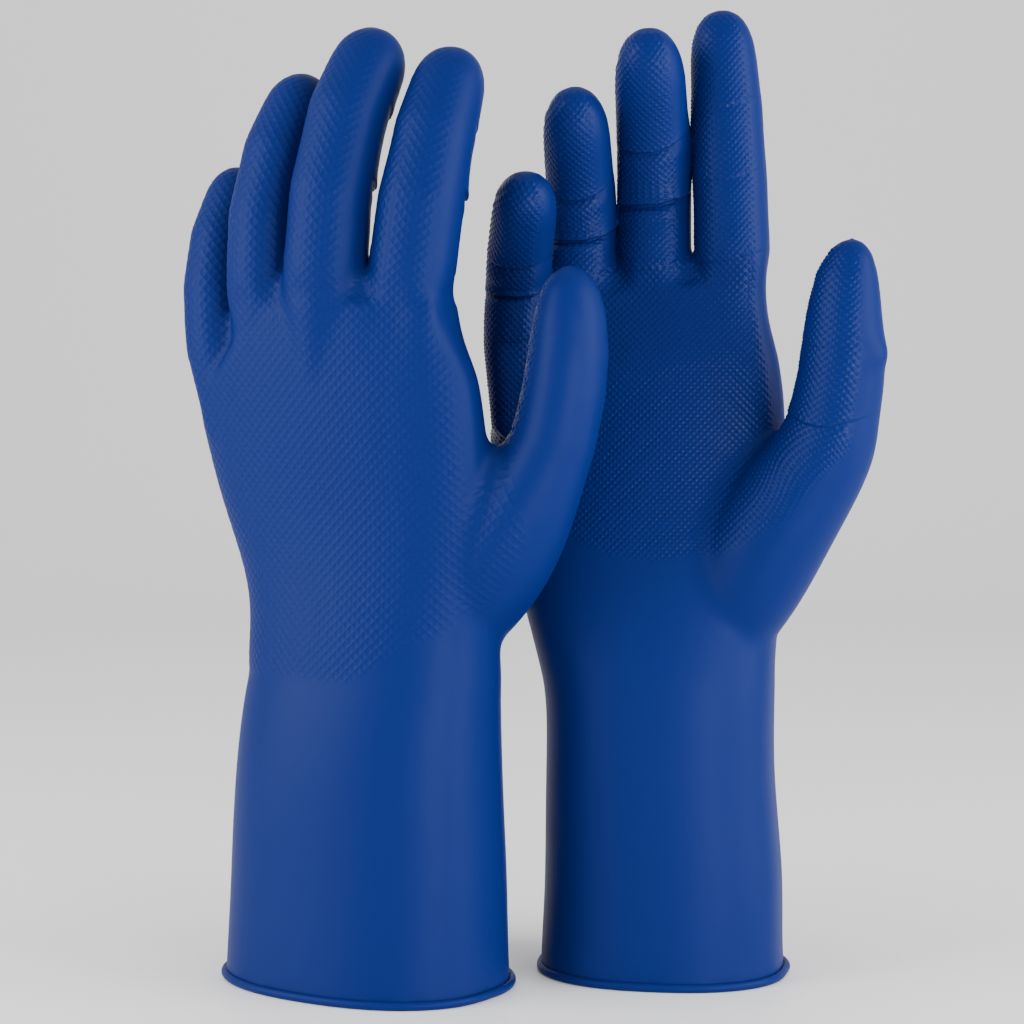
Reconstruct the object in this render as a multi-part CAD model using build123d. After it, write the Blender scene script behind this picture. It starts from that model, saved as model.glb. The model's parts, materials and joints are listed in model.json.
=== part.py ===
"""A pair of long-cuff rubber gloves, standing on their cuffs with the fingers up.

The left glove shows the back of the hand and its thumb, and stands a little in
front. The right glove shows its palm, with the middle, ring and little fingers
bent. Each glove is one thin skin of rubber. It is divided here at the wrist
and at every finger crease, so that each stretch of it can turn on its hinge.

Units are millimetres, +Z is up, and X runs along the pair, left to right.
A glove's width direction points to its thumb side, and its palm direction is
the way its fingers curl.
"""
import os
from math import cos, radians, sin

from build123d import *

# ---- driving dimensions -------------------------------------------------
WALL = 0.6              # thickness of the rubber
JOINT_GAP = 0.3         # space between two stretches of skin at a crease
BEAD_HEIGHT = 2.6       # rolled bead at the mouth of the cuff
BEAD_REACH = 1.5        # how far the bead stands out from the cuff
BEAD_ROUND = 1.0        # radius on the edges of the bead
WRIST_HEIGHT = 93.0     # where the cuff ends and the hand begins
SECTION_POINTS = 16     # points on each cross-section outline
ROUNDNESS = 2.15        # superellipse power of a finger, 2 is an ellipse
PALM_ROUNDNESS = 2.3    # the same for the hand, a little flatter
ROOT_DEPTH = 28.0       # how far a finger reaches down into the hand
ROOT_TAPER = 0.5        # and how much of its width it keeps there
DOME_START = 0.5        # fraction of the last stretch where the tip starts to close
DOME_POWER = 2.2        # how square the fingertip is, 2 is round
DEPTH_RATIO = 0.97      # a finger's depth over its width

# ---- the two gloves -----------------------------------------------------
# cuff and palm: height, centre x, centre y, half width, half depth
# finger: root point, yaw of its curl, lean back of the hand, then for its three
#   stretches their splays towards the thumb, bends and lengths, and its half
#   widths at the three creases and at the pad of the tip
# thumb: centre line points with a half width and a half depth at each one, and
#   which of them are its two creases
# top and drop: the two planes that end the hand at the web between the fingers,
#   each by its distance towards the thumb side, its height and its tilt
LEFT = {
    "name": "left",
    "yaw": 30.0,
    "palm_sign": 1,
    "cuff": [
        (0.0, -43.6, 0.0, 44.4, 33.5),
        (28.0, -43.5, 0.0, 43.4, 32.0),
        (56.0, -43.2, 0.0, 42.2, 31.0),
        (77.0, -42.6, 0.0, 40.8, 29.5),
        (93.0, -41.2, 0.0, 39.6, 27.4),
    ],
    "palm": [
        (93.0, -41.2, 0.0, 39.6, 27.4),
        (106.0, -41.4, 0.0, 39.8, 25.6),
        (120.0, -42.3, -1.0, 41.0, 22.8),
        (140.0, -45.8, -2.2, 44.7, 19.6),
        (165.0, -50.3, -3.8, 47.8, 18.2),
        (185.0, -54.3, -4.8, 49.2, 17.4),
        (204.0, -57.0, -5.0, 48.0, 16.4),
        (222.0, -57.6, -5.0, 46.0, 15.0),
    ],
    "top": (0.0, 203.5, 0.0),
    "drop": (-14.0, 201.0, 50.0),
    "fingers": {
        "index": {
            "root": (-29.2, -21.5, 208.0), "yaw": 15.0, "splays": (7.0, 8.0, 9.0), "lean": 0.0,
            "bends": (2.0, 11.0, 12.0), "lengths": (24.0, 21.0, 27.0),
            "widths": (12.6, 12.4, 11.8, 10.6),
        },
        "middle": {
            "root": (-54.4, -17.5, 208.0), "yaw": 23.0, "splays": (4.0, 6.5, 10.5), "lean": 0.0,
            "bends": (2.0, 13.0, 14.0), "lengths": (27.0, 24.0, 28.0),
            "widths": (11.9, 11.8, 11.7, 11.0),
        },
        "ring": {
            "root": (-73.4, -4.0, 206.0), "yaw": 38.0, "splays": (0.5, 4.0, 6.0), "lean": 0.0,
            "bends": (2.0, 12.0, 14.0), "lengths": (22.0, 20.0, 26.0),
            "widths": (10.8, 10.7, 10.5, 10.0),
        },
        "little": {
            "root": (-88.4, 10.0, 190.0), "yaw": 43.0, "splays": (-5.0, -4.0, -3.0), "lean": 0.0,
            "bends": (1.0, 12.0, 13.0), "lengths": (18.0, 15.0, 24.0),
            "widths": (9.7, 9.6, 9.4, 8.8),
        },
    },
    "thumb": {
        "yaw": -32.0,
        "creases": (4, 6),
        "line": [
            ((-26.0, -3.0, 98.0), 13.0, 12.0),
            ((-17.0, -8.0, 112.0), 16.5, 15.0),
            ((-6.5, -14.0, 126.0), 17.5, 15.5),
            ((4.0, -19.0, 144.0), 15.0, 13.8),
            ((12.2, -22.0, 163.5), 12.1, 12.0),
            ((14.9, -23.0, 176.5), 11.9, 11.6),
            ((16.3, -23.6, 188.5), 11.4, 11.0),
            ((16.8, -23.6, 200.0), 10.2, 9.6),
            ((16.9, -23.4, 207.0), 8.4, 7.6),
            ((17.1, -23.2, 211.6), 5.2, 4.6),
            ((17.3, -23.1, 213.6), 2.0, 1.8),
        ],
    },
}

RIGHT = {
    "name": "right",
    "yaw": 9.0,
    "palm_sign": -1,
    "cuff": [
        (0.0, 46.2, 12.0, 37.1, 29.5),
        (21.0, 46.0, 12.0, 36.4, 28.8),
        (40.0, 45.8, 12.0, 35.8, 28.2),
        (62.0, 45.1, 12.0, 34.8, 27.4),
        (80.0, 44.9, 12.0, 34.6, 26.6),
        (93.0, 44.0, 12.4, 35.6, 25.6),
    ],
    "palm": [
        (93.0, 44.0, 12.4, 35.6, 25.6),
        (107.0, 42.6, 13.4, 38.0, 23.4),
        (124.0, 40.6, 15.4, 41.0, 20.6),
        (142.0, 39.0, 17.8, 43.6, 18.4),
        (165.0, 38.0, 20.8, 45.4, 17.4),
        (185.0, 36.6, 23.4, 45.2, 16.8),
        (205.0, 35.0, 25.8, 43.4, 16.2),
        (226.0, 34.6, 28.0, 42.0, 15.0),
    ],
    "top": (0.0, 208.0, 4.0),
    "drop": (-17.0, 200.0, 55.0),
    "fingers": {
        "index": {
            "root": (67.2, 20.5, 215.0), "yaw": 9.0, "splays": (-2.5, -3.0, -4.0), "lean": 6.0,
            "bends": (1.0, 3.0, 5.0), "lengths": (25.0, 22.0, 30.5),
            "widths": (11.5, 11.2, 10.9, 9.8),
        },
        "middle": {
            "root": (43.5, 26.0, 212.0), "yaw": 9.0, "splays": (-0.5, 0.0, 0.0), "lean": 8.0,
            "bends": (-2.0, 26.0, 14.0), "lengths": (21.5, 20.0, 37.0),
            "widths": (11.1, 11.1, 11.1, 10.7),
        },
        "ring": {
            "root": (21.3, 28.5, 209.0), "yaw": 9.0, "splays": (0.0, 0.0, 0.5), "lean": 8.0,
            "bends": (-2.0, 28.0, 15.0), "lengths": (14.0, 16.5, 34.0),
            "widths": (10.3, 10.4, 10.4, 10.1),
        },
        "little": {
            "root": (0.5, 21.6, 190.5), "yaw": 9.0, "splays": (3.0, 8.0, 13.0), "lean": 8.0,
            "bends": (4.0, 28.0, 13.0), "lengths": (16.0, 13.0, 29.0),
            "widths": (9.4, 9.6, 10.0, 9.8),
        },
    },
    "thumb": {
        "yaw": 35.0,
        "creases": (5, 7),
        "line": [
            ((57.0, 11.0, 98.0), 15.0, 13.0),
            ((64.0, 7.0, 112.0), 18.0, 15.5),
            ((72.6, 2.5, 127.0), 18.6, 16.5),
            ((81.2, -1.5, 141.5), 17.4, 15.6),
            ((89.4, -5.0, 154.5), 15.4, 14.2),
            ((94.6, -8.0, 168.0), 13.4, 12.8),
            ((96.3, -10.0, 180.0), 12.6, 11.9),
            ((96.9, -11.4, 191.0), 12.1, 11.0),
            ((97.0, -12.4, 201.0), 10.9, 10.0),
            ((97.8, -13.0, 210.7), 9.3, 8.4),
            ((99.2, -13.4, 218.0), 6.2, 5.6),
            ((100.2, -13.6, 221.4), 2.2, 2.0),
        ],
    },
}

GLOVES = (LEFT, RIGHT)
SEGMENTS = ("base", "middle", "tip")
FINGER_STATIONS = (
    (0, 0.0), (0, 0.33), (0, 0.67), (1, 0.0), (1, 0.33), (1, 0.67), (2, 0.0), (2, 0.25), (2, 0.45),
    (2, 0.6), (2, 0.72), (2, 0.82), (2, 0.9), (2, 0.955), (2, 0.985),
)


# ---- directions ---------------------------------------------------------
def width_dir(yaw):
    """Horizontal direction from the little-finger side to the thumb side."""
    return Vector(cos(radians(yaw)), -sin(radians(yaw)), 0)


def palm_dir(yaw, sign):
    """Horizontal direction that the palm faces."""
    return Vector(sin(radians(yaw)), cos(radians(yaw)), 0) * sign


# ---- cross-sections -----------------------------------------------------
def power(value, exponent):
    """A signed power, for the superellipse."""
    return abs(value) ** exponent * (1 if value >= 0 else -1)


def outline(plane, half_width, half_depth, roundness):
    """A closed superellipse outline on a plane, as one smooth wire."""
    points = []
    for k in range(SECTION_POINTS):
        angle = radians(360.0 * k / SECTION_POINTS)
        x = half_width * power(cos(angle), 2.0 / roundness)
        y = half_depth * power(sin(angle), 2.0 / roundness)
        points.append(plane.from_local_coords(Vector(x, y, 0)))
    return Wire([Edge.make_spline(points, periodic=True)])


def loft_body(stations, yaw, inset=0.0):
    """The smooth solid through a list of level sections, smaller by the inset."""
    wires = []
    for z, x, y, half_width, half_depth in stations:
        plane = Plane(origin=(x, y, z), x_dir=width_dir(yaw), z_dir=(0, 0, 1))
        wires.append(outline(plane, half_width - inset, half_depth - inset, PALM_ROUNDNESS))
    return Solid.make_loft(wires)


# ---- fingers ------------------------------------------------------------
class Digit:
    """A finger or thumb: its stations along the centre line, and which are creases.

    A station is a point, a direction along the digit, a half width and a half depth.
    """

    def __init__(self, name, yaw, stations, creases):
        self.name = name
        self.yaw = yaw
        self.stations = stations
        self.creases = creases

    def plane(self, station, shift=0.0):
        """The section plane of a station, moved along the digit by the shift."""
        point, along, _, _ = station
        side = width_dir(self.yaw)
        return Plane(origin=point + along * shift, x_dir=side - along * side.dot(along), z_dir=along)

    def loft(self, first, last, inset=0.0, ends=(0.0, 0.0), ruled=True):
        """The solid from one station to another, its two ends moved a little."""
        shifts = {first: ends[0], last: ends[1]}
        wires = []
        for k in range(first, last + 1):
            station = self.stations[k]
            plane = self.plane(station, shifts.get(k, 0.0))
            wires.append(outline(plane, station[2] - inset, station[3] - inset, ROUNDNESS))
        return Solid.make_loft(wires, ruled=ruled)


def curl_direction(finger, sign, bend, splay):
    """The direction of a stretch of finger after its bends so far."""
    side = width_dir(finger["yaw"])
    palm = palm_dir(finger["yaw"], sign)
    splay = radians(splay)
    angle = radians(bend - finger["lean"])
    upright = Vector(0, 0, 1) * cos(splay) + side * sin(splay)
    return upright * cos(angle) + palm * sin(angle)


def dome(fraction):
    """How much of its width the tip keeps at a fraction of the last stretch."""
    past = max(0.0, (fraction - DOME_START) / (1.0 - DOME_START))
    return (1.0 - past ** DOME_POWER) ** (1.0 / DOME_POWER)


def finger_digit(name, finger, sign):
    """A finger built up from its root by lengths and bends."""
    bends, splays = finger["bends"], finger["splays"]
    directions = [curl_direction(finger, sign, sum(bends[:k + 1]), splay) for k, splay in enumerate(splays)]
    corners = [Vector(*finger["root"])]
    for direction, length in zip(directions, finger["lengths"]):
        corners.append(corners[-1] + direction * length)
    hand = curl_direction(finger, sign, 0.0, splays[0])
    turns = [(a + b).normalized() for a, b in zip([hand, *directions], directions)]

    widths = finger["widths"]
    buried = widths[0] * ROOT_TAPER
    stations = [(corners[0] - hand * ROOT_DEPTH, hand, buried, buried)]
    for segment, fraction in FINGER_STATIONS:
        point = corners[segment] + directions[segment] * (finger["lengths"][segment] * fraction)
        along = turns[segment] if fraction == 0.0 else directions[segment]
        size = widths[segment] + (widths[segment + 1] - widths[segment]) * min(1.0, fraction * 1.5)
        if segment == 2:
            size *= dome(fraction)
        stations.append((point, along, size, size * DEPTH_RATIO))
    creases = [1 + k for k, (_, fraction) in enumerate(FINGER_STATIONS) if fraction == 0.0]
    return Digit(name, finger["yaw"], stations, creases)


def thumb_digit(thumb):
    """A thumb, with the ball of the thumb, along its own centre line."""
    points = [Vector(*point) for point, _, _ in thumb["line"]]
    points.append(points[-1] * 2 - points[-2])
    stations = []
    for k, (_, half_width, half_depth) in enumerate(thumb["line"]):
        along = (points[k + 1] - points[max(k - 1, 0)]).normalized()
        stations.append((points[k], along, half_width, half_depth))
    return Digit("thumb", thumb["yaw"], stations, thumb["creases"])


def glove_digits(glove):
    """All five digits of a glove."""
    sign = glove["palm_sign"]
    digits = [finger_digit(name, finger, sign) for name, finger in glove["fingers"].items()]
    return [*digits, thumb_digit(glove["thumb"])]


def digit_segments(digit):
    """The hollow stretches of a digit past its first crease, one by one."""
    bounds = [*digit.creases, len(digit.stations) - 1]
    pieces = []
    for first, last in zip(bounds, bounds[1:]):
        closed = last == bounds[-1]
        outer = digit.loft(first, last, 0.0, (JOINT_GAP / 2, 0.0 if closed else -JOINT_GAP / 2))
        inner = digit.loft(first, last, WALL, (JOINT_GAP / 2, -WALL if closed else -JOINT_GAP / 2))
        pieces.append(outer - inner)
    return pieces


# ---- palm and cuff ------------------------------------------------------
def below(shape, origin, normal):
    """The part of a shape on the near side of a plane."""
    return split(shape, bisect_by=Plane(origin=origin, z_dir=normal), keep=Keep.BOTTOM)


def palm_body(glove, inset):
    """The hand without its fingers, with its top cut to the web between them."""
    body = loft_body(glove["palm"], glove["yaw"], inset)
    _, x, y, _, _ = glove["palm"][-2]
    side = width_dir(glove["yaw"])
    for along_side, height, tilt in (glove["top"], glove["drop"]):
        normal = Vector(0, 0, 1) * cos(radians(tilt)) - side * sin(radians(tilt))
        origin = Vector(x, y, height) + side * along_side - normal * inset
        body = below(body, origin, normal)
    return body


def palm_skin(glove, digits):
    """The skin of the hand, with a stub for each finger and the ball of the thumb."""
    skin = palm_body(glove, 0.0)
    for digit in digits:
        smooth = digit.name == "thumb"
        skin += digit.loft(0, digit.creases[0], 0.0, (0.0, -JOINT_GAP / 2), ruled=not smooth)
    skin -= palm_body(glove, WALL)
    for digit in digits:
        smooth = digit.name == "thumb"
        skin -= digit.loft(0, digit.creases[0], WALL, (WALL, JOINT_GAP), ruled=not smooth)
    wrist = Plane.XY.offset(WRIST_HEIGHT + JOINT_GAP / 2)
    return split(skin, bisect_by=wrist, keep=Keep.TOP)


def cuff_skin(glove):
    """The plain tube of the cuff, from its bead to the wrist."""
    tube = loft_body(glove["cuff"], glove["yaw"]) - loft_body(glove["cuff"], glove["yaw"], WALL)
    tube = split(tube, bisect_by=Plane.XY.offset(BEAD_HEIGHT), keep=Keep.TOP)
    return split(tube, bisect_by=Plane.XY.offset(WRIST_HEIGHT - JOINT_GAP / 2), keep=Keep.BOTTOM)


def cuff_bead(glove):
    """The rolled bead around the mouth of the cuff, flat underneath."""
    _, x, y, half_width, half_depth = glove["cuff"][0]
    plane = Plane(origin=(x, y, 0), x_dir=width_dir(glove["yaw"]), z_dir=(0, 0, 1))
    wires = [outline(plane, half_width + reach, half_depth + reach, PALM_ROUNDNESS)
             for reach in (BEAD_REACH, -WALL)]
    ring = extrude(Face(wires[0], [wires[1]]), BEAD_HEIGHT, dir=(0, 0, 1))
    outer_edges = ring.edges().sort_by(lambda edge: edge.length)[-2:]
    return fillet(outer_edges, BEAD_ROUND)


# ---- the pair -----------------------------------------------------------
def glove_nodes(glove):
    """Every named piece of one glove."""
    name = glove["name"]
    digits = glove_digits(glove)
    nodes = {
        f"{name}_cuff_bead": cuff_bead(glove),
        f"{name}_cuff": cuff_skin(glove),
        f"{name}_palm": palm_skin(glove, digits),
    }
    for digit in digits:
        labels = SEGMENTS if len(digit.creases) == 3 else (SEGMENTS[0], SEGMENTS[2])
        for label, piece in zip(labels, digit_segments(digit)):
            nodes[f"{name}_{digit.name}_{label}"] = piece
    return nodes


def pair_nodes():
    """Every named piece of both gloves, and the middle of their footprint."""
    nodes = {}
    for glove in GLOVES:
        nodes.update(glove_nodes(glove))
    box = Compound(children=[Compound(list(piece.solids())) for piece in nodes.values()]).bounding_box()
    return nodes, Vector((box.min.X + box.max.X) / 2, (box.min.Y + box.max.Y) / 2, 0)


def write_parts():
    """Write each piece, with the middle of the pair's footprint at the origin."""
    os.makedirs("parts", exist_ok=True)
    nodes, middle = pair_nodes()
    for name, piece in nodes.items():
        export_step(Pos(-middle) * piece, f"parts/{name}.step")


if __name__ == "__main__":
    write_parts()
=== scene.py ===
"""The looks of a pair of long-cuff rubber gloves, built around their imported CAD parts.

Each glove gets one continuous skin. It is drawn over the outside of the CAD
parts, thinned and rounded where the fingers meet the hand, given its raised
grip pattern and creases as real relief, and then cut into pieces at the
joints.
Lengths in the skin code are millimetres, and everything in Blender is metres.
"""
import json
from math import cos, pi, radians, sin
from types import SimpleNamespace

import bmesh
import bpy
import numpy as np
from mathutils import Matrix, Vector
from mathutils.bvhtree import BVHTree


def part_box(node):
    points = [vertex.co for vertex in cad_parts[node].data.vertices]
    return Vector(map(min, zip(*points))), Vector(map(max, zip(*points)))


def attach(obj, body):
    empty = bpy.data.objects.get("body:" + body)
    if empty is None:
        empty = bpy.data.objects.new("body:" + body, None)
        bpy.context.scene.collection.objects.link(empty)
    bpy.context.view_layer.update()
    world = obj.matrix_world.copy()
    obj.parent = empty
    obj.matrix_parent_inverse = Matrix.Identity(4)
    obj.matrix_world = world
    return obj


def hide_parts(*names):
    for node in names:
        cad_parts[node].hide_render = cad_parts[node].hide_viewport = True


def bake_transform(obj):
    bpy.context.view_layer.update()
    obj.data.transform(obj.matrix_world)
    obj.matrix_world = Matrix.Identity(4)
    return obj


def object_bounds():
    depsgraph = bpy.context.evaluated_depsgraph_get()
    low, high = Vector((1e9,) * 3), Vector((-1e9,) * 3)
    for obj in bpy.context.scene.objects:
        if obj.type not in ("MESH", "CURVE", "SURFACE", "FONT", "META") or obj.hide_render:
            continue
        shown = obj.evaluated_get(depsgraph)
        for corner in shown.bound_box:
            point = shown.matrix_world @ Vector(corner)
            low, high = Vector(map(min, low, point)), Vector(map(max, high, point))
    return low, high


MM = 0.001

# ---- drawing the skin ---------------------------------------------------
VOXEL = 1.4             # grid step that the skin is drawn on
BAND = 3                # grid steps from the skin where its distance is worked out
BLUR = 0.95             # rounding of all edges, in grid steps
WEB_BLUR = 2.9          # rounding of the hollows between fingers, in grid steps
WEB_REACH = 0.12        # how easily the hollows fill, in mm
WEB_FADE = 0.3          # and how fast that ends above the roots of the fingers
WEB_RISE = 2.0          # starting this far above them
SLIM = 0.94             # fingers are drawn this much slimmer, to part them, then restored
SLIM_START = (0.0, 9.0)     # from this far past the root of a finger
TAPER = 30.0            # the hand thins over this height to the roots of the fingers
TAPER_END = 0.86        # to this share of their thickness
EDGE_END = 0.9          # and to this share of the index finger's width beside it
EVEN = 8                # passes that smooth the skin's mesh
EVEN_STEPS = (0.5, -0.52)   # in and back out again, so that it doesn't shrink
EVEN_ROOTS = 50         # and more round the roots of the fingers
ROOTS_REACH = 11.0      # up to this far from them
RELAX = 3               # passes that spread the mesh evenly over the skin
STITCH = 0.75           # the skin's open edge is below this height, in grid steps
FINE = 2                # times that each face of the hand is divided
WALL = 0.7              # distance to the inner face of the skin
RIM_REACH = 0.45        # rims closer than this to the next part are joints
RIM_DEPTH = 0.4         # points this near to the end of a tube are on its rim
RIM_CLEAR = 3.0         # and its direction is read this far from its hinge and more
BELOW_ROOT = 30.0       # a digit's centre line starts this far inside the hand
OWN_REACH = 1.6         # a digit reaches this many of its radii from its line
FADE_REACH = 1.15       # and its pattern fades into the hand's from here
FINGER_FADE = 12.0      # and below its root over this height
THUMB_FADE = 34.0
BEAD_CLEAR = 1.6        # the skin starts this high, inside the bead

# ---- how the skin bends -------------------------------------------------
WRIST_BELOW = 10.0      # reach of the wrist's bend below and above its hinge
WRIST_ABOVE = 15.0
ROOT_BELOW = 2.0        # reach of a finger's first bend into the hand
BEND_REACH = 7.0        # reach of a bend along the finger, each way
BEND_SHARE = 0.36       # and the most of a stretch that it may take
PIECE_MARGIN = 1.7      # a piece ends this far outside its bend

# ---- the bead -----------------------------------------------------------
BEAD_RADIUS = 1.25
BEAD_STEPS = 360
BEAD_SIDES = 20

# ---- relief -------------------------------------------------------------
NET_PITCH = 2.1         # distance between the ridges of the net on the back
NET_RIDGE = 0.33        # half width of a ridge
NET_HEIGHT = 0.17
NET_TURN = 12.0         # the net faces this far round to the little finger's side
NET_THUMB_TURN = 70.0   # and this far on the thumb
NET_THUMB_LESS = 0.25   # where it is narrower
HAND_EDGE = 9.0         # radius of the hand's edges, round which the pattern wraps
NET_START = -2.0        # the net starts this far above the wrist
NET_SLOPE = 0.55        # and higher towards the thumb,
NET_LEVEL = 8.0         # from this far past the middle
STUD_PITCH = 1.5        # distance between rows of studs on the palm
STUD_HEIGHT = 0.22
STUD_TURN = 22.0        # the studs face this far round to the little finger's side
STUD_START = 31.0       # the studs start this far above the wrist
STUD_ARC = 0.009        # and higher to both sides, in a curve
STUD_ROUND = (0.1, 0.8)     # parts of the stud wave that are the foot and the top of a stud
PATTERN_EDGE = 5.0      # height over which a pattern starts
NET_SIDES = (0.3, 0.65)     # how squarely the skin faces where the net starts and is full
STUD_SIDES = (0.25, 0.55)   # the same for the studs
STUD_CAPS = (0.62, 0.85)    # and how much it faces up where the studs fade at the fingertips
FOLD_LIP = 1.25         # the fold's lip above a crease, where a finger is bent
FOLD_GROOVE = 1.6       # and the depth of the crease under it
LIP_FADE = 4.2          # height over which the lip fades
GROOVE_FADE = 1.5       # and the depth over which the crease does
FOLD_SIDES = (0.0, 0.75)    # how squarely the skin faces where a fold starts and is full
FOLD_STEP = (-0.5, 0.35)    # from below to above a crease, where its lip begins
FOLD_SMILE = 0.02       # how much a crease curves up at its ends
FOLD_SLANT = 0.16       # and how much it rises towards the thumb
PILLOW = 0.3            # soft swelling under a crease
PILLOW_BELOW = 4.5      # with its middle this far below
PILLOW_REACH = 2.2
FOLD_BENDS = (2.0, 12.0)    # bends in degrees that have no fold and a full one
FAINT_FOLD = 0.12       # least strength of a fold
THUMB_FOLD = 0.35       # strength of the thumb's folds
KNUCKLE = 1.7           # bump on the outer side of the right thumb's knuckle
KNUCKLE_REACH = 4.6     # and its size
RIPPLE = 0.14           # unevenness of the plain rubber

# ---- rubber -------------------------------------------------------------
RUBBER_BLUE = (0.0004, 0.0095, 0.1, 1)
SHEEN = 0.1
ROUGHNESS = (0.42, 0.54)    # least and most, in a fine mottle
STUD_GLOSS = 0.15           # and this much less on the studs

# ---- stage, light and camera, in metres ---------------------------------
FLOOR_HALF = 3.0        # half width of the floor
FLOOR_FRONT = -2.0
FLOOR_MIDDLE = -0.5
FLOOR_BEND = 1.0        # radius of the floor's bend into the wall behind
FLOOR_BACK = 2.0
WALL_TOP = 3.0
BEND_STEPS = 24
SOFTBOX_POWER = 11      # in watts
FILL_POWER = 9
CAMERA_PLACE = (-0.005, -0.752, 0.19)
CAMERA_DROP = 3.75      # degrees that the camera looks down
CAMERA_LENS = 88.6

DIGITS = ("index", "middle", "ring", "little", "thumb")
SIDES = ("left", "right")
LINE_STEPS = 8          # steps of a digit's centre line between two creases


# ---- small helpers ------------------------------------------------------
def smoothstep(low, high, value):
    """0 below low, 1 above high, and a smooth rise between."""
    t = np.clip((value - low) / (high - low), 0.0, 1.0)
    return t * t * (3.0 - 2.0 * t)


def unit(vectors):
    """Vectors scaled to length 1."""
    return vectors / np.maximum(np.linalg.norm(vectors, axis=-1, keepdims=True), 1e-12)


# ---- the outside of the CAD parts ---------------------------------------
def node_bmesh(node):
    """A welded copy of a CAD node's mesh."""
    bm = bmesh.new()
    bm.from_mesh(frame["nodes"][node].data)
    bmesh.ops.remove_doubles(bm, verts=bm.verts, dist=1e-6)
    bm.faces.ensure_lookup_table()
    bm.normal_update()
    return bm


def is_rim(face, neighbours):
    """Whether a face looks straight at the next part across a joint."""
    if not neighbours:
        return False
    centre = face.calc_center_median()
    for tree in neighbours:
        place, _, _, _ = tree.find_nearest(centre, RIM_REACH * MM)
        if place is not None and (place - centre).normalized().dot(face.normal) > 0.9:
            return True
    return False


def islands(faces):
    """Groups of faces joined by edges."""
    left = set(faces)
    found = []
    while left:
        stack = [left.pop()]
        group = []
        while stack:
            face = stack.pop()
            group.append(face)
            for edge in face.edges:
                for other in edge.link_faces:
                    if other in left:
                        left.discard(other)
                        stack.append(other)
        found.append(group)
    return found


def spread(group):
    """The size of a group's box."""
    co = np.array([v.co for face in group for v in face.verts])
    return float(np.ptp(co, axis=0).sum())


def outside_of(node, neighbours, flat_rims=False):
    """The outer surface of a hollow CAD node, as points in mm and triangles."""
    bm = node_bmesh(node)
    graph = bpy.context.evaluated_depsgraph_get()
    trees = [BVHTree.FromObject(frame["nodes"][name], graph) for name in neighbours]
    walls = [f for f in bm.faces if not is_rim(f, trees) and not (flat_rims and abs(f.normal.z) > 0.95)]
    outer = max(islands(walls), key=spread)
    index = {}
    points, triangles = [], []
    for face in outer:
        for vert in face.verts:
            if vert.index not in index:
                index[vert.index] = len(points)
                points.append(tuple(vert.co / MM))
        corners = [index[v.index] for v in face.verts]
        triangles += [(corners[0], b, c) for b, c in zip(corners[1:], corners[2:])]
    bm.free()
    return np.array(points), np.array(triangles)


def node_points(node):
    """A CAD node's points in mm."""
    mesh = frame["nodes"][node].data
    co = np.empty(len(mesh.vertices) * 3)
    mesh.vertices.foreach_get("co", co)
    return co.reshape(-1, 3) / MM


def box_mm(node):
    """The two corners of a CAD node's box, in mm."""
    return (np.array(corner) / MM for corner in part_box(node))


def joint_of(child):
    """The joint that carries a body."""
    return next(j for j in frame["joints"] if j["child"] == child)


# ---- distance field -----------------------------------------------------
def sample_triangles(points, triangles, step):
    """Points spread over triangles, closer together than the step."""
    corners = points[triangles]
    longest = np.max(np.linalg.norm(corners - np.roll(corners, 1, axis=1), axis=2), axis=1)
    counts = np.ceil(longest / step).astype(int) + 1
    samples = []
    for count in np.unique(counts):
        group = corners[counts == count]
        i, j = np.meshgrid(np.arange(count + 1), np.arange(count + 1), indexing="ij")
        keep = i + j <= count
        a, b = i[keep] / count, j[keep] / count
        weights = np.stack([1 - a - b, a, b], axis=1)
        samples.append(np.einsum("wk,tkx->twx", weights, group).reshape(-1, 3))
    return np.concatenate(samples)


def grow(mask, steps):
    """A mask widened by a number of cells along each axis."""
    for axis in range(3):
        for _ in range(steps):
            wider = mask.copy()
            ahead = [slice(None)] * 3
            behind = [slice(None)] * 3
            ahead[axis], behind[axis] = slice(1, None), slice(None, -1)
            wider[tuple(ahead)] |= mask[tuple(behind)]
            wider[tuple(behind)] |= mask[tuple(ahead)]
            mask = wider
    return mask


def reach_outside(free):
    """The free cells that the outside reaches, past every side but the bottom."""
    outside = np.zeros_like(free)
    outside[0], outside[-1], outside[:, 0], outside[:, -1] = free[0], free[-1], free[:, 0], free[:, -1]
    outside[:, :, -1] = free[:, :, -1]
    while True:
        before = outside.sum()
        for axis in range(3):
            cells, room = np.moveaxis(outside, axis, 0), np.moveaxis(free, axis, 0)
            for k in range(1, len(cells)):
                cells[k] |= cells[k - 1] & room[k]
            for k in range(len(cells) - 2, -1, -1):
                cells[k] |= cells[k + 1] & room[k]
        if outside.sum() == before:
            return outside


def distance_field(points, triangles, low, shape):
    """Distance to the skin on a grid, negative inside it."""
    near = np.zeros(shape, bool)
    cells = np.rint((sample_triangles(points, triangles, VOXEL / 2) - low) / VOXEL).astype(int)
    cells = cells[np.all((cells >= 0) & (cells < shape), axis=1)]
    near[tuple(cells.T)] = True
    near = grow(near, BAND)
    tree = BVHTree.FromPolygons(points.tolist(), triangles.tolist())
    limit = BAND * VOXEL
    field = np.where(reach_outside(~near), limit, -limit)
    where = np.argwhere(near)
    values = np.empty(len(where))
    for k, place in enumerate((where * VOXEL + low).tolist()):
        spot = Vector(place)
        hit, normal, _, distance = tree.find_nearest(spot)
        values[k] = distance if (spot - hit).dot(normal) >= 0 else -distance
    field[near] = np.clip(values, -limit, limit)
    return field


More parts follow.
